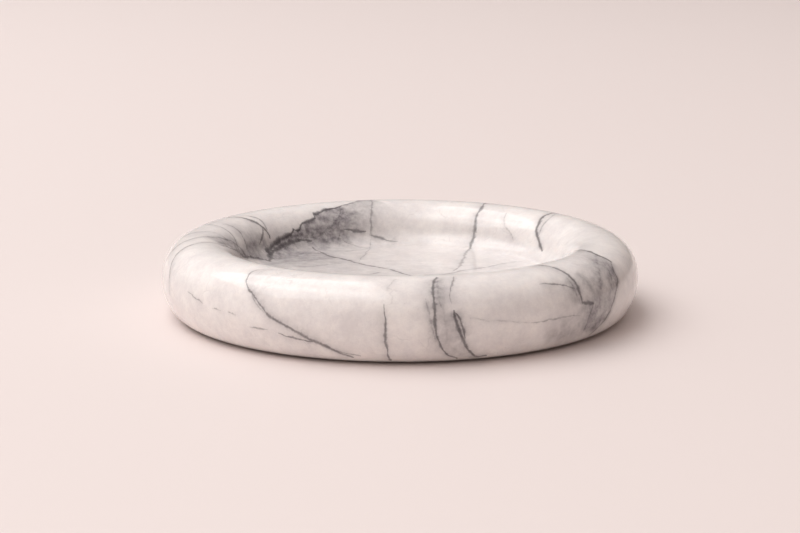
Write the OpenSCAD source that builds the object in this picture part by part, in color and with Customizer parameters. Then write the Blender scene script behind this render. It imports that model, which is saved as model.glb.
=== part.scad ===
// Shaving bowl turned from one block of veined white marble.
// A thick rounded ring runs round a shallow flat-floored dish. The underside has a turned
// recess, in which four elastomer bumpers carry the bowl just clear of the table.
// Units are millimetres. +Z is up, and the origin is on the table under the bowl's centre.

/* [Ring] */
// Outside diameter of the ring, at its widest
outer_d = 150; // [140:1:165]
// Radius of the tight curve from the foot to the side
edge_r = 5.5; // [4.5:0.5:6.5]
// Radius of the side's gentle curve
side_r = 15.5; // [14.5:0.5:16.5]
// Radius of the shoulder outside the crown
shoulder_r = 10.5; // [9.5:0.5:11.5]
// Radius of the flatter curve over the crown
crown_r = 15.5; // [14.5:0.5:17]

/* [Dish] */
// Radius of the shoulder inside the crown
inner_r = 10.5; // [9.5:0.5:12]
// Radius of the hollow curve between the wall and the floor, which also sets the floor's height
fillet_r = 6.5; // [5.5:0.5:7.5]

/* [Underside] */
// Gap between the stone's foot ring and the table
foot_gap = 0.5; // [0.3:0.1:1]
// Diameter of the turned recess under the dish
recess_d = 116; // [112:1:118]
// Depth of the recess above the foot ring
recess_depth = 1.7; // [1.2:0.1:2.5]
// Width of the chamfer that eases the recess's edge
arris = 0.5; // [0.2:0.1:0.8]

/* [Bumpers] */
// Diameter of a bumper's glued face
bumper_d = 10; // [8:0.5:12]
// Radius of a bumper's rounded lower edge
bumper_edge_r = 1.2; // [0.6:0.1:1.4]
// Diameter of the circle through the bumpers' centres
bumper_circle_d = 98; // [80:1:98]

/* [Hidden] */

$fn = 96;

stone_color = [0.93, 0.91, 0.9];
bumper_color = [0.82, 0.83, 0.82];

recess_r = recess_d / 2;
recess_h = foot_gap + recess_depth;

// The ring's section is a chain of arcs, each tangent to the next. These unit vectors point from
// the arcs' centres to the joins. They are the sides of whole-number triangles, 3-4-5 and 7-24-25,
// so every join is exact.
edge_join = [0.8, -0.6];
side_join = [0.96, 0.28];
crown_join = [0.28, 0.96];
over_join = [-0.28, 0.96];
wall_join = [-0.96, 0.28];

// Centres of the arcs, as [distance from the axis, height]
side_c = [outer_d / 2 - side_r, foot_gap + edge_r - (side_r - edge_r) * edge_join[1]];
edge_c = side_c + (side_r - edge_r) * edge_join;
outer_c = side_c + (side_r - shoulder_r) * side_join;
crown_c = outer_c - (crown_r - shoulder_r) * crown_join;
inner_c = crown_c + (crown_r - inner_r) * over_join;
wall_meet = inner_c + inner_r * wall_join;
fillet_c = inner_c + (inner_r + fillet_r) * wall_join;
floor_h = fillet_c[1] - fillet_r;

// Angle of the first bumper round the axis, from +X towards +Y, and the step to the next
first_bumper = -45;
bumper_step = 90;

// Slice of a circle between two unit vectors
module slice(centre, r, from, to) {
    translate(centre)
        intersection() {
            circle(r);
            polygon([[0, 0], 2 * r * from, 2 * r * to]);
        }
}

// Half of the bowl's cross-section, right of the axis
module stone_section() {
    slice(edge_c, edge_r, [0, -1], edge_join);
    slice(side_c, side_r, edge_join, side_join);
    slice(outer_c, shoulder_r, side_join, crown_join);
    slice(crown_c, crown_r, crown_join, over_join);
    slice(inner_c, inner_r, over_join, wall_join);
    difference() {
        polygon([
            [0, recess_h],
            [recess_r, recess_h],
            [recess_r, foot_gap + arris],
            [recess_r + arris, foot_gap],
            [edge_c[0], foot_gap],
            edge_c,
            side_c,
            outer_c,
            crown_c,
            inner_c,
            wall_meet,
            [fillet_c[0], floor_h],
            [0, floor_h],
        ]);
        translate(fillet_c) circle(fillet_r);
    }
}

// Half of a bumper's cross-section: flat faces, with a round lower edge
module bumper_section() {
    flat_r = bumper_d / 2 - bumper_edge_r;
    slice([flat_r, bumper_edge_r], bumper_edge_r, [0, -1], [1, 0]);
    square([flat_r, recess_h]);
    translate([0, bumper_edge_r]) square([bumper_d / 2, recess_h - bumper_edge_r]);
}

module bowl() {
    color(stone_color)
        rotate_extrude() stone_section();
}

module bumper(i) {
    color(bumper_color)
        rotate([0, 0, first_bumper + i * bumper_step])
            translate([bumper_circle_d / 2, 0, 0])
                rotate_extrude() bumper_section();
}

bowl();
bumper(0);  // bumper_front_right
bumper(1);  // bumper_back_right
bumper(2);  // bumper_back_left
bumper(3);  // bumper_front_left
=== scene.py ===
"""Looks of a shaving bowl turned from veined white marble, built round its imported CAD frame."""

import math

import bpy
import numpy as np
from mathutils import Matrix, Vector


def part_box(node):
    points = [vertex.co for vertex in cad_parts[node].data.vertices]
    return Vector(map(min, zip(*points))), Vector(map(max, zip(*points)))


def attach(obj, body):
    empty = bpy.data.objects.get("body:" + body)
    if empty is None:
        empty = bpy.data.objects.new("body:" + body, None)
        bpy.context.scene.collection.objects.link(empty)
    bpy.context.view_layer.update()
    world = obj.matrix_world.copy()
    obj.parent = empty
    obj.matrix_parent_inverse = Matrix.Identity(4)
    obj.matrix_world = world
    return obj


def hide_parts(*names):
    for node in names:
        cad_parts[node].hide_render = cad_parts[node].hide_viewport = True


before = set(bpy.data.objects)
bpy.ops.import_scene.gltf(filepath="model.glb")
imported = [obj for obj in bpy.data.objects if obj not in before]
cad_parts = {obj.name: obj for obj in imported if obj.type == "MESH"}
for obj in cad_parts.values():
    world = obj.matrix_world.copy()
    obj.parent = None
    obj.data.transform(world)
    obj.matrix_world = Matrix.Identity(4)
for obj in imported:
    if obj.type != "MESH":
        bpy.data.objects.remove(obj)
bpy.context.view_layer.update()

MM = 0.001

# The turned section in millimetres, with the radii of its arcs. Its points are (distance from the
# axis, height).
BOWL_LOW, BOWL_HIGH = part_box("bowl")
OUTER_R = BOWL_HIGH.x / MM
FOOT_GAP = BOWL_LOW.z / MM
EDGE_R = 5.5
SIDE_R = 15.5
SHOULDER_R = 10.5
CROWN_R = 15.5
INNER_R = 10.5
FILLET_R = 6.5
RECESS_R = 58.0
RECESS_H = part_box("bumper_front_left")[1].z / MM
ARRIS = 0.5

BUMPERS = ("bumper_front_right", "bumper_back_right", "bumper_back_left", "bumper_front_left")

# Unit vectors from the arcs' centres to the points where one arc of the ring becomes the next.
EDGE_JOIN = np.array([0.8, -0.6])
SIDE_JOIN = np.array([0.96, 0.28])
CROWN_JOIN = np.array([0.28, 0.96])
OVER_JOIN = CROWN_JOIN * (-1, 1)
WALL_JOIN = SIDE_JOIN * (-1, 1)

# How far it is along the upper side's surface from the foot's outer edge to the dish's centre, in mm
CHART_R = 102.9

# Faces round the bowl, the widest that a face is along the section, in mm, on an arc and on a straight
# stretch, and the angle in degrees from which an edge between faces is sharp
SEGMENTS = 320
ARC_STEP = 1.0
STRAIGHT_STEP = 3.0
SHARP_ANGLE = 30


def bearing(direction):
    """Angle of a vector in degrees, from the first axis."""
    return math.degrees(math.atan2(direction[1], direction[0]))


def polar(angle):
    """Unit vector at an angle in degrees."""
    return np.array([math.cos(math.radians(angle)), math.sin(math.radians(angle))])


def arc(centre, radius, start, end):
    """Points along an arc from one angle to another, in degrees, with both ends."""
    steps = math.ceil(abs(math.radians(end - start)) * radius / ARC_STEP)
    return [centre + radius * polar(a) for a in np.linspace(start, end, steps + 1)]


def straight(start, end):
    """Points along a straight line, with both ends."""
    steps = math.ceil(math.dist(start, end) / STRAIGHT_STEP)
    return list(np.linspace(start, end, steps + 1))


def upper_section():
    """The section from the outer edge of the foot ring, over the crown, to the dish's centre."""
    side = np.array([OUTER_R - SIDE_R, FOOT_GAP + EDGE_R - (SIDE_R - EDGE_R) * EDGE_JOIN[1]])
    edge = side + (SIDE_R - EDGE_R) * EDGE_JOIN
    outer = side + (SIDE_R - SHOULDER_R) * SIDE_JOIN
    crown = outer - (CROWN_R - SHOULDER_R) * CROWN_JOIN
    inner = crown + (CROWN_R - INNER_R) * OVER_JOIN
    fillet = inner + (INNER_R + FILLET_R) * WALL_JOIN
    floor_h = fillet[1] - FILLET_R
    return (
        arc(edge, EDGE_R, -90, bearing(EDGE_JOIN))
        + arc(side, SIDE_R, bearing(EDGE_JOIN), bearing(SIDE_JOIN))[1:]
        + arc(outer, SHOULDER_R, bearing(SIDE_JOIN), bearing(CROWN_JOIN))[1:]
        + arc(crown, CROWN_R, bearing(CROWN_JOIN), bearing(OVER_JOIN))[1:]
        + arc(inner, INNER_R, bearing(OVER_JOIN), bearing(WALL_JOIN))[1:]
        + arc(fillet, FILLET_R, bearing(-WALL_JOIN), -90)[1:]
        + straight((fillet[0], floor_h), (0, floor_h))[1:]
    )


def lower_section(foot_r):
    """The section from the dish's axis under the stone to the outer edge of the foot ring."""
    return (
        straight((0, RECESS_H), (RECESS_R, RECESS_H))
        + straight((RECESS_R, RECESS_H), (RECESS_R, FOOT_GAP + ARRIS))[1:]
        + straight((RECESS_R, FOOT_GAP + ARRIS), (RECESS_R + ARRIS, FOOT_GAP))[1:]
        + straight((RECESS_R + ARRIS, FOOT_GAP), (foot_r, FOOT_GAP))[1:]
    )


def turned(name, section, chart):
    """A closed mesh turned about the Z axis from a section that starts and ends on the axis.

    chart is each section point's distance from the middle of the surface's flat chart, in mm.
    """
    round_axis = [polar(360 * i / SEGMENTS) for i in range(SEGMENTS)]
    inner = section[1:-1]
    verts = [(r * x * MM, r * y * MM, z * MM) for r, z in inner for x, y in round_axis]
    verts += [(0, 0, section[0][1] * MM), (0, 0, section[-1][1] * MM)]
    first, last = len(verts) - 2, len(verts) - 1
    faces = []
    for i in range(SEGMENTS):
        j = (i + 1) % SEGMENTS
        faces.append((first, j, i))
        for k in range(len(inner) - 1):
            low, high = k * SEGMENTS, (k + 1) * SEGMENTS
            faces.append((low + i, low + j, high + j, high + i))
        top = (len(inner) - 1) * SEGMENTS
        faces.append((top + i, top + j, last))
    mesh = bpy.data.meshes.new(name)
    mesh.from_pydata(verts, [], faces)
    spots = [(rho * x, rho * y) for rho in chart[1:-1] for x, y in round_axis]
    spots += [(0, 0), (0, 0)]
    layer = mesh.uv_layers.new(name="chart")
    corner = np.zeros(len(mesh.loops), dtype=np.int32)
    mesh.loops.foreach_get("vertex_index", corner)
    layer.data.foreach_set("uv", np.array(spots, dtype=np.float32)[corner].ravel())
    mesh.shade_smooth()
    mesh.set_sharp_from_angle(angle=math.radians(SHARP_ANGLE))
    piece = bpy.data.objects.new(name, mesh)
    bpy.context.scene.collection.objects.link(piece)
    return piece


def make_bowl():
    """The stone, with a flat chart of its surface for the veins.

    On the upper side a point's distance in the chart is the way along the surface to the dish's
    centre. The underside repeats the chart, so that veins meet at the foot's edge.
    """
    upper = upper_section()
    lower = lower_section(upper[0][0])
    ways = [math.dist(a, b) for a, b in zip(upper, upper[1:])]
    to_centre = [sum(ways[i:]) for i in range(len(upper))]
    spread = to_centre[0] / upper[0][0]
    chart = [p[0] * spread for p in lower[:-1]] + to_centre
    return turned("marble_bowl", lower[:-1] + upper, chart)


# The stone's veins, with some painted shade: inside the left wall and over the dish floor, veins and hazes
# stand for shade. Their routes are chosen on the chart, and each runs from its first place to its last
# without doubling back.


def ring(*places):
    """Chart places of points on the ring.

    A point is (azimuth in degrees from the front towards +X, mm up the surface from the foot).
    """
    return [(CHART_R - up) * polar(azimuth - 90) for azimuth, up in places]


def dish(*places):
    """Chart places of points in the dish, which are given as (x, y) on the chart."""
    return [np.array(place, dtype=float) for place in places]


def vein(route, line, dark, haze=(0.5, 0.5), grey=0.2, jagged=False):
    """A vein with a line and a haze beside it.

    line is its thickness in mm at the start, the middle and the end, and haze is how far the haze spreads
    in mm to the left and to the right of the route. dark and grey are their strengths, from 0 to 1.
    """
    return {"route": route, "line": line, "dark": dark, "haze": haze, "grey": grey, "jagged": jagged}


def cloud_and_shade_haze(route, haze, grey):
    """A vein that is haze only: a grey cloud in the stone in some places, painted shade in others."""
    return vein(route, (0, 0, 0), 0, haze, grey)


VEINS = [
    # The long vein of the front left, from the crown to the foot
    vein(ring((-35, 33.5), (-38.5, 31.5), (-39.5, 28.5), (-39, 26.5), (-37, 23.5), (-34.5, 21.5)),
         (0.2, 0.8, 0.9), 0.75, (4.0, 0.8), 0.4),
    vein(ring((-37, 23.5), (-34.5, 21.5), (-32, 19), (-29.5, 16), (-26.5, 14.5), (-24.5, 13.3),
              (-21.5, 11.5), (-19.5, 10.2), (-17.5, 9), (-15, 7.5), (-11, 5)),
         (0.7, 0.9, 1.1), 0.75, (1.8, 1.0), 0.5),
    vein(ring((-35.5, 22), (-33.5, 19.5), (-31, 16.8)), (0.2, 0.7, 0.2), 0.5),
    vein(ring((-17, 8.2), (-13.5, 7), (-9, 5.5)), (0.4, 0.7, 0.3), 0.6),
    # Dashes low on the front left
    vein(ring((-57.5, 18), (-54, 16.8), (-50.5, 16.3)), (0.1, 0.7, 0.1), 0.6, (0.8, 0.8), 0.3),
    vein(ring((-47, 15), (-45, 15.3), (-43.5, 15.2)), (0.1, 0.5, 0.1), 0.5),
    vein(ring((-41.5, 15), (-39, 14.8)), (0.1, 0.5, 0.1), 0.5),
    vein(ring((-35.5, 12.3), (-33, 12.1), (-30, 11.9)), (0.1, 0.6, 0.4), 0.6),
    vein(ring((-27.5, 11.3), (-25, 10.6), (-22.5, 10.2), (-19.5, 9.8)),
         (0.4, 0.9, 0.4), 0.8, (1, 1), 0.3),
    # The thin upright of the front
    vein(ring((-1, 32.5), (-1.8, 30), (-3, 26)), (0.1, 0.5, 0.1), 0.35, (1, 1), 0.2),
    vein(ring((-3.6, 22), (-3.3, 18), (-3.2, 14), (-3, 10.5), (-2.7, 7), (-2.2, 3.5)),
         (0.2, 0.9, 0.9), 0.8, (0.8, 1.4), 0.4),
    # The pair of thick uprights right of the middle, and the grey between them
    vein(ring((9.5, 33), (8.2, 30), (7.5, 26), (7.5, 20), (7.4, 16), (7.9, 13), (8.8, 10), (10, 7),
              (13, 4)),
         (1.2, 1.1, 0.8), 0.8, (2.0, 2.0), 0.55),
    vein(ring((9.5, 31), (8.8, 28), (8.6, 24), (9, 21)), (0.6, 1.8, 0.4), 0.35, (1, 2.5), 0.4),
    vein(ring((5.6, 23), (6, 20), (6.6, 16), (7.3, 13), (8.3, 10.5)),
         (0.3, 1.1, 0.8), 0.4, (0.8, 1.2), 0.4),
    cloud_and_shade_haze(ring((10.5, 33), (9.8, 26), (9.7, 18), (10.4, 12), (12, 8), (14, 5)), (2.2, 2.2), 0.4),
    vein(ring((14, 33), (12.5, 28.5), (11.8, 26), (11.4, 24), (11.7, 22)),
         (0.4, 0.8, 0.1), 0.6, (1.2, 1.2), 0.3),
    vein(ring((11.9, 20), (12, 17.5), (12.6, 14.5), (13.8, 11.5)), (0.5, 1.3, 0.8), 0.9, (1.5, 2.0), 0.6),
    vein(ring((12, 19.5), (12.9, 17.3), (13.6, 14.5), (14.2, 11.5)),
         (0.3, 1.2, 0.6), 0.85, (1.5, 2.5), 0.5),
    vein(ring((13.5, 12.3), (13.8, 11.5), (14.5, 9.3), (15.5, 7), (17, 5), (20, 4.3)),
         (1.2, 1.0, 0.7), 0.85, (1.5, 3.0), 0.5),
    # The thin level line on the right
    vein(ring((15, 17.5), (17, 17), (19, 16.3), (22, 15.7), (26, 15), (30, 14.3)), (0.4, 0.5, 0.4), 0.3),
    vein(ring((30, 14.3), (33, 14.1), (36, 14), (40, 14.1), (44, 13.5)), (0.4, 0.7, 0.2), 0.5),
    # The hook of the front right
    vein(ring((34, 25.3), (36, 25), (38, 24.4), (40, 23.8), (43.5, 22)),
         (0.1, 0.8, 0.5), 0.7, (0.8, 2), 0.35),
    vein(ring((40.5, 37), (41.5, 34), (42.5, 32), (43.3, 29.5), (43.8, 27.5), (44.2, 25.5), (44.7, 23.5),
              (44.8, 21.5), (44.7, 19.5), (45, 17.6)), (0.7, 1.2, 1.6), 0.8, (1.0, 3.0), 0.5),
    vein(ring((43, 26), (43.3, 23), (43.5, 20), (44.5, 17)), (0.3, 1.4, 0.4), 0.4, (1.5, 2.5), 0.6),
    vein(ring((44.8, 17.8), (46, 17.2), (49.2, 16.2)), (1.2, 1.1, 0.9), 0.85, (0.6, 3.0), 0.4),
    vein(ring((49.2, 16.4), (48.5, 14.5), (47.5, 11.5), (47, 8)), (0.6, 0.9, 0.4), 0.5, (2.5, 2.5), 0.5),
    # The wide band of the right end
    vein(ring((70, 41), (67.5, 38), (65, 34.5), (63.5, 32), (63.5, 28.5), (64, 26)),
         (0.7, 1.2, 1.6), 0.9, (0.6, 4.0), 0.75),
    vein(ring((64, 26.3), (62, 23.5), (61, 20), (57.5, 15), (56, 11.5), (54, 8.5), (51, 5)),
         (0.8, 0.8, 1.0), 0.6, (0.8, 4.0), 0.7),
    vein(ring((62, 31), (56.5, 26.5), (53.5, 22), (51.5, 17), (50, 12), (48.5, 7)),
         (1.4, 1.8, 0.8), 0.3, (2.0, 3.5), 0.7),
    cloud_and_shade_haze(ring((63, 28), (58.5, 22), (55.5, 16), (53, 11), (50, 7)), (3.5, 3), 0.7),
    vein(ring((61, 28), (59.5, 24), (57.5, 20)), (0.4, 1.6, 0.4), 0.35, (2.0, 2.0), 0.4),
    cloud_and_shade_haze(ring((47, 27), (49, 22), (50, 17), (51, 12)), (3.5, 3.5), 0.55),
    # Grey haze low on the front right, near the foot
    cloud_and_shade_haze(ring((57, 10.5), (50, 9), (44, 8.5), (34, 8.5)), (3, 3), 0.55),
    cloud_and_shade_haze(ring((50, 17), (44, 14), (38, 12)), (2.5, 2.5), 0.35),
    # The left end, ringed by lines that run along it
    vein(ring((-69, 14), (-70, 19), (-72, 22), (-75, 26), (-76, 29), (-77, 32), (-79, 36), (-80, 40)),
         (0.3, 1.3, 0.5), 0.6, (0.8, 1.6), 0.3),
    vein(ring((-79, 16), (-80, 20), (-81, 24), (-83, 28), (-85, 32), (-87, 36), (-88, 40)),
         (0.3, 1.1, 0.6), 0.6, (1.0, 1.8), 0.3),
    vein(ring((-90, 24), (-92, 28), (-94, 32), (-95, 36), (-95, 40), (-93, 44)),
         (0.3, 0.9, 0.4), 0.5, (1, 1.5), 0.25),
    vein(ring((-107, 31), (-105, 35), (-104, 38), (-102, 42), (-99, 46), (-96, 50)),
         (0.2, 0.8, 0.8), 0.6, (1.0, 2.0), 0.3),
    # Painted shade inside the left wall, where it turns away from the light, drawn as dark vein lines with
    # wide grey haze
    vein(dish((-67, -4), (-61.5, 2), (-57.5, 7), (-53.5, 10.5), (-50.5, 11)),
         (0.2, 0.9, 1.4), 0.6, (1.2, 3.0), 0.5),
    vein(dish((-61, -12), (-58.5, -4), (-55.5, 3.5), (-52, 9)), (0.2, 0.8, 1.4), 0.6, (3.0, 0.8), 0.7),
    vein(dish((-63, 21), (-59.5, 20.5), (-57, 19), (-54.5, 16.5), (-52, 14.5)),
         (0.2, 0.7, 1.0), 0.6, (1.2, 1.5), 0.4),
    vein(dish((-52, 8), (-49.5, 13), (-46, 17), (-42, 19)), (0.8, 1.2, 1.8), 0.7, (5, 0.8), 0.9),
    cloud_and_shade_haze(dish((-52, 15), (-50.5, 19), (-48, 24), (-45, 27)), (5, 4), 0.7),
    cloud_and_shade_haze(dish((-62, -9), (-58.5, 0), (-55, 6), (-51.5, 10)), (3.5, 0.8), 0.8),
    # The loop over the left of the crown
    vein(dish((-62, 33), (-58, 33), (-54, 32.5), (-51, 32.3), (-49, 32), (-46.5, 31.4), (-45, 30.5)),
         (0.5, 1.4, 1.0), 0.85, (0.6, 1.6), 0.5),
    vein(dish((-49.5, 32), (-49, 29), (-48.5, 26), (-48, 24)), (1.4, 1.2, 0.4), 0.75, (1.0, 1.2), 0.5),
    vein(dish((-59, 35), (-55, 36.5), (-52, 36), (-49.5, 34.3), (-47.5, 32.5)),
         (0.2, 0.9, 0.7), 0.6, (0.8, 1), 0.35),
    # The jagged crack of the back left, with the dark cloud below it
    vein(dish((-44.5, 24), (-43, 29), (-41.5, 33), (-40, 36), (-38.5, 38.5), (-38.2, 41), (-37, 40.8),
              (-36, 42), (-36, 44.5), (-35.5, 45.5)), (2.2, 1.8, 0.7), 0.9, (0.3, 6.0), 0.95, True),
    vein(dish((-35.7, 45.2), (-33, 48), (-31, 50)), (0.7, 1.4, 0.8), 0.85, (0.3, 8.0), 0.95, True),
    vein(dish((-31, 49.8), (-32, 51.5), (-30.8, 52.3), (-27.5, 56.3), (-24, 58.2), (-22, 60.5)),
         (1.4, 1.3, 0.7), 0.9, (0.3, 9.0), 0.95, True),
    vein(dish((-22.3, 60.2), (-19, 63), (-15.5, 67), (-12, 71)),
         (0.9, 0.7, 0.5), 0.65, (0.3, 8.0), 0.7, True),
    vein(dish((-42.5, 19), (-43, 24.5), (-41, 29), (-39, 33), (-36, 37), (-33.5, 39.5), (-30.5, 41)),
         (1.8, 1.8, 1.3), 0.85, (2.5, 3.0), 0.75),
    vein(dish((-39, 36), (-35.5, 40), (-31, 43)), (0.3, 1.0, 0.3), 0.4, (1.5, 1.5), 0.6),
    vein(dish((-33, 41), (-28.5, 44), (-26.5, 47), (-24.5, 50), (-23, 53), (-22.5, 58)),
         (0.5, 1.4, 0.6), 0.5, (1.5, 2.0), 0.6),
    vein(dish((-21.5, 45.5), (-21, 48.5), (-22.5, 51), (-21.5, 57)),
         (0.5, 1.2, 0.3), 0.45, (1.2, 1.8), 0.55),
    cloud_and_shade_haze(dish((-34, 43), (-30, 46), (-25, 49), (-19, 51)), (2.5, 8.0), 0.8),
    cloud_and_shade_haze(dish((-29, 43), (-25, 46), (-21, 48)), (4, 4), 0.7),
    cloud_and_shade_haze(dish((-44, 12), (-38, 16), (-30, 20), (-22, 24)), (5, 5), 0.4),
    cloud_and_shade_haze(dish((-24, 53), (-18, 54), (-12, 56)), (4, 4), 0.4),
    cloud_and_shade_haze(dish((-30, 52), (-26, 53), (-21, 55), (-16, 58)), (1.5, 4.0), 0.5),
    cloud_and_shade_haze(dish((-42, 21), (-38, 26), (-33, 30), (-27, 33)), (4.5, 6.0), 0.75),
    # Lines of the dish's left
    vein(dish((-29, 38), (-27, 34.5), (-25, 30.5), (-22, 25.5), (-18, 21.5), (-14, 16), (-10, 12), (-6, 8),
              (-2.5, 4.5), (1, -1), (6, -5)), (1.0, 1.1, 0.8), 0.75, (1.0, 1.6), 0.4),
    vein(dish((-12, 72), (-11, 66), (-10.5, 58), (-10.3, 53), (-10, 50.5)),
         (0.6, 1.0, 0.9), 0.55, (1.5, 2), 0.4),
    vein(dish((-10, 50.5), (-7, 50), (-4.5, 48.8), (-1, 48)), (0.7, 1.2, 0.3), 0.65, (2, 2), 0.4),
    vein(dish((-10, 48), (-10.5, 38), (-12, 28), (-13.5, 19)), (0.4, 0.8, 0.3), 0.45, (1, 1), 0.25),
    vein(dish((-20, 50), (-16, 50.7), (-12, 51.7)), (0.4, 1.3, 0.5), 0.75, (1, 2), 0.4),
    vein(dish((-20, 46), (-16.5, 44.5), (-13, 41.5), (-9.5, 40.5)), (0.3, 0.8, 0.3), 0.5, (1, 1), 0.3),
    vein(dish((-18.5, 34.5), (-14, 37.5), (-9.5, 40.5)), (0.3, 0.7, 0.3), 0.45, (1, 1), 0.25),
    vein(dish((-35, 11), (-30, 10), (-25, 12.4), (-19, 16)), (0.3, 0.8, 0.3), 0.45, (1, 1), 0.3),
    vein(dish((-12, -2.5), (-9, -1.5), (-6, 2)), (0.4, 0.9, 0.3), 0.6, (1, 1), 0.3),
    # Lines of the back wall's right
    vein(dish((32, 61), (30, 54.5), (28, 51), (27, 48), (25.5, 45.5), (24.5, 43), (23.5, 38.5)),
         (1.0, 1.4, 1.0), 0.8, (0.8, 2.0), 0.4),
    vein(dish((23.5, 40), (22, 31), (21, 23), (19, 10), (17, 3)),
         (1.0, 1.3, 0.7), 0.65, (0.8, 1.6), 0.35),
    vein(dish((39.5, 49), (38.2, 46), (38, 43), (39, 39), (39.5, 35)),
         (0.4, 0.8, 0.2), 0.4, (0.6, 1.2), 0.25),
    vein(dish((60, 43), (58, 42), (55, 40.5), (53, 38.5), (51.5, 36), (49.8, 33), (48.5, 29), (48, 24),
              (47.5, 20.5)),
         (0.9, 1.5, 1.2), 0.85, (1.5, 1.2), 0.45),
    vein(dish((56.5, 38.5), (54, 34), (51.5, 31), (49.5, 28)), (0.4, 1.1, 0.4), 0.5, (1, 1), 0.3),
    vein(dish((58, 42), (62, 40.5), (66, 38.5), (71, 35)), (0.7, 0.8, 0.4), 0.5, (1, 1), 0.25),
    vein(dish((8, -3), (15, -1), (21, 4.5), (27, 8.5), (31, 12.5), (35, 16), (40, 19)),
         (0.9, 0.9, 0.5), 0.6, (1, 1.6), 0.35),
    # Grey drifts in the dish; the widest, over the whole floor, is painted shade darkening the dish's
    # hollow
    cloud_and_shade_haze(dish((-5, 46), (3, 45), (10, 46)), (3, 4), 0.25),
    cloud_and_shade_haze(dish((-34, 26), (-28, 24), (-20, 28)), (4, 4), 0.25),
    # Painted shade: a broad grey haze that darkens the whole dish floor
    cloud_and_shade_haze(dish((-50, -5), (0, 5), (48, 10)), (25, 25), 0.28),
    # The outside of the back, where the veins of the inside come out
    vein(ring((-170, 31), (-168, 24), (-165, 16), (-160, 9), (-156, 3)),
         (0.7, 1.2, 0.9), 0.75, (1, 3), 0.5),
    vein(ring((-173, 30), (-173, 22), (-170, 14), (-163, 8)), (0.5, 0.8, 0.4), 0.5, (3, 1), 0.4),
    vein(ring((152, 34), (154, 26), (157, 18), (158, 10), (162, 3)), (1.0, 1.0, 1.2), 0.75, (1, 2), 0.4),
    vein(ring((126, 29), (122, 22), (121, 15), (117, 9), (112, 3)),
         (1.1, 0.9, 1.0), 0.8, (1.5, 1.5), 0.4),
    vein(ring((116, 24), (110, 19), (101, 16), (93, 10)), (0.5, 0.8, 0.3), 0.6, (1, 1.5), 0.3),
    vein(ring((-107, 31), (-112, 24), (-118, 17), (-121, 10), (-126, 3)),
         (0.8, 1.2, 0.8), 0.7, (1, 2.5), 0.4),
    vein(ring((-118, 33), (-124, 27), (-133, 22), (-140, 14), (-142, 6)),
         (0.6, 1.0, 0.5), 0.7, (0.8, 2), 0.4),
    vein(ring((-134, 21), (-144, 19), (-152, 16), (-161, 15)), (0.5, 0.8, 0.3), 0.5, (2, 2), 0.45),
    cloud_and_shade_haze(ring((-152, 28), (-148, 20), (-150, 12)), (4, 4), 0.4),
    vein(ring((176, 24), (170, 21), (163, 20)), (0.2, 0.7, 0.2), 0.5, (1, 1), 0.3),
    vein(ring((143, 14), (137, 12.5), (131, 12)), (0.2, 0.7, 0.2), 0.55, (1, 1), 0.3),
    vein(ring((86, 26), (84, 19), (85, 12), (80, 5)), (0.3, 0.8, 0.5), 0.5, (1.5, 1.5), 0.35),
]

# A vein's curves run from 0 to 1, so its thickness is held as a share of THICKEST, in mm. FINEST is
# added to each line's half width, because a step of no width would draw a line. CORE is the solid part
# of the half width. MARGIN is the part of a vein's length that is left free at either end of its route,
# and HAZE_RISE the part over which the haze comes and goes.
THICKEST = 4.0
FINEST = 0.005
CORE = 0.1
MARGIN = 0.02
HAZE_RISE = 0.2

LAYERS = ("Lines", "Hazes")


def node(tree, kind, inputs=None, **settings):
    """A shader node with its settings made and its inputs set or linked."""
    made = tree.nodes.new("ShaderNode" + kind)
    for name, value in settings.items():
        setattr(made, name, value)
    for name, value in (inputs or {}).items():
        if isinstance(value, bpy.types.NodeSocket):
            tree.links.new(value, made.inputs[name])
        else:
            made.inputs[name].default_value = value
    return made


def calc(tree, operation, *values, clamp=False):
    """The result of a Math node."""
    return node(tree, "Math", dict(enumerate(values)), operation=operation, use_clamp=clamp).outputs[0]


def span(tree, value, low, high, to_low=0.0, to_high=1.0, kind="LINEAR"):
    """A value mapped from one range to another, and held inside it."""
    inputs = {"Value": value, "From Min": low, "From Max": high, "To Min": to_low, "To Max": to_high}
    return node(tree, "MapRange", inputs, interpolation_type=kind).outputs["Result"]


def dot(tree, value, direction):
    """How far a vector reaches in a direction.

    The veins use this in place of the Combine XYZ and Separate XYZ nodes, because those change a
    socket's type. Cycles then keeps every vein waiting at once, and has no room for them all.
    """
    return node(tree, "VectorMath", {0: value, 1: direction}, operation="DOT_PRODUCT").outputs["Value"]


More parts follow.
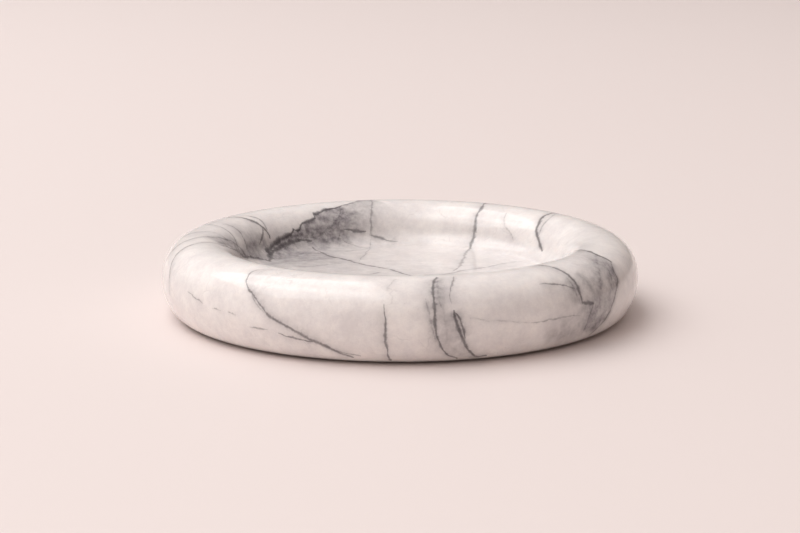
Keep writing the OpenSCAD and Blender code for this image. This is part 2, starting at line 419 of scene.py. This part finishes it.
def vein_group():
    """A node group that adds one vein to two layers.

    Lines is how dark the veins' lines are, and Hazes is how grey the haze beside them is; where a vein
    stands for shade, both carry painted shade. Shape holds the route's bend, the line's thickness and the
    haze's presence at this place along the vein.
    """
    group = bpy.data.node_groups.new("vein", "ShaderNodeTree")
    socket = group.interface.new_socket
    socket("Shape", in_out="INPUT", socket_type="NodeSocketVector")
    for name in LAYERS + ("Aside", "Ragged", "Length", "Dark", "Grey", "Haze left", "Haze right"):
        socket(name, in_out="INPUT", socket_type="NodeSocketFloat")
    for name in LAYERS:
        socket(name, in_out="OUTPUT", socket_type="NodeSocketFloat")
    given = group.nodes.new("NodeGroupInput").outputs
    axes = ((1, 0, 0), (0, 1, 0), (0, 0, 1))
    bend, thickness, presence = (dot(group, given["Shape"], axis) for axis in axes)
    across = calc(group, "MULTIPLY", calc(group, "SUBTRACT", given["Aside"], bend), given["Length"])
    far = calc(group, "ABSOLUTE", across)
    share = calc(group, "MULTIPLY", thickness, given["Ragged"])
    half = calc(group, "MULTIPLY_ADD", share, THICKEST, FINEST)
    line = span(group, far, half, calc(group, "MULTIPLY", half, CORE), kind="SMOOTHSTEP")
    side = calc(group, "GREATER_THAN", across, 0.0)
    reaches = {"Factor": side, "A": given["Haze right"], "B": given["Haze left"]}
    reach = node(group, "Mix", reaches).outputs["Result"]
    fade = calc(group, "EXPONENT", calc(group, "DIVIDE", far, calc(group, "MULTIPLY", reach, -1.0)))
    haze = calc(group, "MULTIPLY", calc(group, "MULTIPLY", fade, presence), given["Grey"])
    lines = calc(group, "MAXIMUM", given["Lines"], calc(group, "MULTIPLY", line, given["Dark"]))
    clear_before = calc(group, "SUBTRACT", 1.0, given["Hazes"])
    clear = calc(group, "MULTIPLY", clear_before, calc(group, "SUBTRACT", 1.0, haze))
    result = group.nodes.new("NodeGroupOutput").inputs
    group.links.new(lines, result["Lines"])
    group.links.new(calc(group, "SUBTRACT", 1.0, clear), result["Hazes"])
    return group


def set_curve(curve, places, smooth):
    """Sets a curve's points, each an (x, y)."""
    while len(curve.points) < len(places):
        curve.points.new(0.5, 0.0)
    for point, place in zip(curve.points, places):
        point.location = place
        point.handle_type = "AUTO_CLAMPED" if smooth else "VECTOR"


def add_vein(tree, group, layers, places, ragged, drawn):
    """Draws a vein over the layers, and returns the new ones. layers is None before the first vein."""
    start, end = drawn["route"][0], drawn["route"][-1]
    length = math.dist(start, end) / (1 - 2 * MARGIN)
    along = (end - start) / math.dist(start, end)
    across = np.array([-along[1], along[0]])
    origin = start - along * length * MARGIN
    offset = node(tree, "VectorMath", {0: places, 1: (*origin, 0)}, operation="SUBTRACT").outputs["Vector"]
    way, aside = (dot(tree, offset, (*unit / length, 0)) for unit in (along, across))
    ways = node(tree, "VectorMath", {0: (1, 1, 1), "Scale": way}, operation="SCALE").outputs["Vector"]
    shape = node(tree, "VectorCurve", {"Vector": ways})
    steps = [((p - origin) @ along / length, (p - origin) @ across / length) for p in drawn["route"]]
    assert steps == sorted(steps), f"a vein doubles back: {steps}"
    thick = [t / THICKEST for t in drawn["line"]]
    set_curve(shape.mapping.curves[0], steps, not drawn["jagged"])
    set_curve(
        shape.mapping.curves[1],
        [(0, 0), (MARGIN, thick[0]), (0.5, thick[1]), (1 - MARGIN, thick[2]), (1, 0)],
        False,
    )
    set_curve(shape.mapping.curves[2], [(0, 0), (HAZE_RISE, 1), (1 - HAZE_RISE, 1), (1, 0)], True)
    shape.mapping.extend = "HORIZONTAL"
    shape.mapping.update()
    inputs = {name: layers[name] for name in LAYERS} if layers else {}
    inputs |= {
        "Aside": aside,
        "Ragged": ragged,
        "Shape": shape.outputs["Vector"],
        "Length": length,
        "Dark": drawn["dark"],
        "Grey": drawn["grey"],
        "Haze left": drawn["haze"][0],
        "Haze right": drawn["haze"][1],
    }
    return node(tree, "Group", inputs, node_tree=group).outputs


def mixed(tree, share, first, second):
    """Two colours mixed, by the share of the second. A Mix node's colour sockets are numbers 6 and 7."""
    inputs = {"Factor": share, 6: first, 7: second}
    return node(tree, "Mix", inputs, data_type="RGBA").outputs[2]


def shifted(tree, places, swirl, reach):
    """Places moved by a reach in X, Y and Z times a swirl of noise."""
    inputs = {0: swirl, 1: reach, 2: places}
    return node(tree, "VectorMath", inputs, operation="MULTIPLY_ADD").outputs["Vector"]


def noise(tree, places, size, detail=2.0, roughness=0.5, output="Fac"):
    """Noise whose features are about a size in mm."""
    inputs = {"Vector": places, "Scale": 1 / (size * MM), "Detail": detail, "Roughness": roughness}
    return node(tree, "TexNoise", inputs).outputs[output]


# Colours of the stone: its palest and its greyest crystals, the haze beside its veins, the veins' lines
# and the hairline cracks. The haze and line greys also paint shade inside the left wall and over the dish
# floor.
PALE_STONE = (0.89, 0.85, 0.825, 1)
GREY_STONE = (0.75, 0.71, 0.705, 1)
HAZE_AND_SHADE_GREY = (0.19, 0.17, 0.185, 1)
LINE_AND_SHADE_GREY = (0.055, 0.047, 0.052, 1)
CRACK_GREY = (0.3, 0.27, 0.28, 1)

# The veins wander by two noises, each with its size and how far it shifts them, in mm
WANDERS = ((9.0, 2.0), (2.2, 0.8))

# Sizes in mm: of the notches in the veins' lines, the breaks in their faint stretches, the patches in
# their haze, the stone's mottles and its polish marks
NOTCH = 3.0
BREAK = 1.1
PATCH = 3.0
MOTTLE = 9.0
POLISH = 0.6

# Hairline cracks: the size in mm of the grains between them, of the bends in them and of the areas that
# hold them, and how far a bend shifts them
GRAIN = 14.0
BEND = 5.0
CRACKED_AREA = 11.0
BEND_SHIFT = 8.0


def marble():
    """White marble: mottled crystals, and grey veins and painted shade drawn on the chart, roughened by
    noise.
    """
    material = bpy.data.materials.new("veined_marble")
    material.use_nodes = True
    tree = material.node_tree
    stone = node(tree, "TexCoord").outputs["Object"]
    chart = node(tree, "UVMap", uv_map="chart").outputs["UV"]

    places = chart
    for size, shift in WANDERS:
        swirl = noise(tree, stone, size, output="Color")
        centred = node(tree, "VectorMath", {0: swirl, 1: (0.5, 0.5, 0.5)}, operation="SUBTRACT").outputs[0]
        places = shifted(tree, places, centred, (shift, shift, 0))
    ragged = span(tree, noise(tree, stone, NOTCH, 4.0, 0.6), 0.35, 0.65, 0.5, 1.35)

    layers = None
    group = vein_group()
    for drawn in VEINS:
        layers = add_vein(tree, group, layers, places, ragged, drawn)

    # The haze is patchy, and the lines break up where they are faint.
    patchy = span(tree, noise(tree, stone, PATCH, 6.0, 0.72), 0.28, 0.72, 0.4, 1.3)
    haze = calc(tree, "MULTIPLY", layers["Hazes"], patchy, clamp=True)
    least = span(tree, noise(tree, stone, BREAK, 5.0, 0.8), 0.35, 0.65, 0.0, 0.5)
    line = span(tree, layers["Lines"], least, 1.15)

    mottle = span(tree, noise(tree, stone, MOTTLE, 7.0, 0.8), 0.38, 0.64)
    # Haze and lines are mixed in: veins and grey in the stone, and painted shade inside the left wall and
    # over the dish floor.
    hazed_and_shaded = mixed(tree, haze, mixed(tree, mottle, PALE_STONE, GREY_STONE), HAZE_AND_SHADE_GREY)
    veined = mixed(tree, line, hazed_and_shaded, LINE_AND_SHADE_GREY)

    # Hairline cracks run between the stone's grains, in a few places only.
    swirl = noise(tree, stone, BEND, 3.0, output="Color")
    bent = shifted(tree, stone, swirl, (BEND_SHIFT * MM,) * 3)
    cells = {"Vector": bent, "Scale": 1 / (GRAIN * MM), "Randomness": 1.0}
    grains = node(tree, "TexVoronoi", cells, feature="DISTANCE_TO_EDGE").outputs["Distance"]
    crack = span(tree, grains, 0.02, 0.004)
    seldom = span(tree, noise(tree, stone, CRACKED_AREA, 3.0, 0.6), 0.52, 0.62, 0.0, 0.16)
    cracked = mixed(tree, calc(tree, "MULTIPLY", crack, seldom), veined, CRACK_GREY)

    shader = tree.nodes["Principled BSDF"]
    tree.links.new(cracked, shader.inputs["Base Color"])
    polish = noise(tree, stone, POLISH, 3.0, 0.7)
    tree.links.new(span(tree, polish, 0.3, 0.7, 0.05, 0.14), shader.inputs["Roughness"])
    relief = node(tree, "Bump", {"Height": polish, "Strength": 0.04, "Distance": 0.2 * MM})
    tree.links.new(relief.outputs["Normal"], shader.inputs["Normal"])
    shader.inputs["Subsurface Weight"].default_value = 0.3
    shader.inputs["Subsurface Radius"].default_value = (1.0, 0.8, 0.7)
    shader.inputs["Subsurface Scale"].default_value = 1.5 * MM
    return material


# The bumpers' elastomer, where it is clearest and where it is cloudiest
CLEAR_RUBBER = (0.80, 0.82, 0.81, 1)
CLOUDY_RUBBER = (0.62, 0.64, 0.63, 1)


def elastomer():
    """Clear, slightly clouded elastomer with a satin skin."""
    material = bpy.data.materials.new("clear_elastomer")
    material.use_nodes = True
    tree = material.node_tree
    places = node(tree, "TexCoord").outputs["Object"]
    cloud = span(tree, noise(tree, places, 3.0, 4.0, 0.6), 0.35, 0.65)
    colour = mixed(tree, cloud, CLEAR_RUBBER, CLOUDY_RUBBER)
    skin = noise(tree, places, 0.4, 3.0, 0.65)
    relief = node(tree, "Bump", {"Height": skin, "Strength": 0.15, "Distance": 0.2 * MM})
    shader = tree.nodes["Principled BSDF"]
    tree.links.new(colour, shader.inputs["Base Color"])
    tree.links.new(span(tree, skin, 0.3, 0.7, 0.3, 0.5), shader.inputs["Roughness"])
    tree.links.new(relief.outputs["Normal"], shader.inputs["Normal"])
    shader.inputs["IOR"].default_value = 1.42
    shader.inputs["Subsurface Weight"].default_value = 0.6
    shader.inputs["Subsurface Radius"].default_value = (1.0, 1.0, 1.0)
    shader.inputs["Subsurface Scale"].default_value = 3 * MM
    return material


# Half the floor's width in metres, which fills the view from any side, and its colour
HALF_FLOOR = 3.0
FLOOR_COLOUR = (0.78, 0.7, 0.68, 1)


def make_stage():
    """A plain pale floor."""
    mesh = bpy.data.meshes.new("floor")
    corners = [(x * HALF_FLOOR, y * HALF_FLOOR, 0) for x, y in ((-1, -1), (1, -1), (1, 1), (-1, 1))]
    mesh.from_pydata(corners, [], [(0, 1, 2, 3)])
    floor = bpy.data.objects.new("floor", mesh)
    bpy.context.scene.collection.objects.link(floor)
    material = bpy.data.materials.new("pale_floor")
    material.use_nodes = True
    shader = material.node_tree.nodes["Principled BSDF"]
    shader.inputs["Base Color"].default_value = FLOOR_COLOUR
    shader.inputs["Roughness"].default_value = 0.6
    mesh.materials.append(material)


# The camera stands in front of the bowl, in metres, and looks down on it by LOOK_DOWN degrees. The lens
# and the sensor are in mm.
CAMERA_PLACE = (0, -0.6072, 0.1421)
LOOK_DOWN = 11.93
LENS = 88.1
SENSOR_WIDTH = 36
NEAREST_SEEN = 0.05


def make_camera():
    """A camera at the photograph's viewing angle."""
    camera = bpy.data.objects.new("camera", bpy.data.cameras.new("camera"))
    bpy.context.scene.collection.objects.link(camera)
    camera.data.lens = LENS
    camera.data.sensor_width = SENSOR_WIDTH
    camera.data.clip_start = NEAREST_SEEN
    camera.location = CAMERA_PLACE
    camera.rotation_euler = (math.radians(90 - LOOK_DOWN), 0, 0)
    bpy.context.scene.camera = camera


def area_light(name, place, target, size, power, colour, turn=0):
    """A rectangular light at a place, facing a target, and turned about the upright axis by degrees."""
    light = bpy.data.lights.new(name, "AREA")
    light.shape = "RECTANGLE"
    light.size, light.size_y = size
    light.energy = power
    light.color = colour
    lamp = bpy.data.objects.new(name, light)
    lamp.location = place
    lamp.rotation_euler = (Vector(target) - Vector(place)).to_track_quat("-Z", "Y").to_euler()
    lamp.rotation_euler.z += math.radians(turn)
    bpy.context.scene.collection.objects.link(lamp)


# The room is bright high on the left and dim low on the right. A direction's brightness follows how
# closely it agrees with BRIGHT_SIDE.
BRIGHT_SIDE = Vector((-0.62, 0.05, 0.8)).normalized()
DIM_ROOM = (0.14, 0.09, 0.065, 1)
BRIGHT_ROOM = (0.95, 0.88, 0.855, 1)
ROOM_STRENGTH = 0.8


def make_lights():
    """A soft room, a large softbox high on the left, a window's reflection and a warm fill in front."""
    world = bpy.data.worlds.new("studio")
    bpy.context.scene.world = world
    world.use_nodes = True
    tree = world.node_tree
    facing = dot(tree, node(tree, "TexCoord").outputs["Generated"], BRIGHT_SIDE)
    room = mixed(tree, span(tree, facing, -0.5, 0.9), DIM_ROOM, BRIGHT_ROOM)
    background = tree.nodes["Background"]
    tree.links.new(room, background.inputs["Color"])
    background.inputs["Strength"].default_value = ROOM_STRENGTH
    area_light("softbox", (-1.7, 0.35, 2.5), (-1.7, 0.35, 0), (3.0, 3.9), 72.0, (1, 0.99, 0.985))
    area_light("window", (-1.35, 0.1, 2.4), (-1.35, 0.1, 0), (2.5, 0.6), 7.5, (1, 0.99, 0.98), turn=-42)
    area_light("fill", (-0.6, -2.2, 1.7), (0, 0, 0), (2.0, 1.6), 6.0, (1, 0.91, 0.83))
    bpy.context.scene.view_settings.view_transform = "Standard"


bowl = make_bowl()
bowl.data.materials.append(marble())
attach(bowl, "root")
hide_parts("bowl")

rubber = elastomer()
for name in BUMPERS:
    for slot in bpy.data.objects[name].material_slots:
        slot.material = rubber

make_stage()
make_camera()
make_lights()
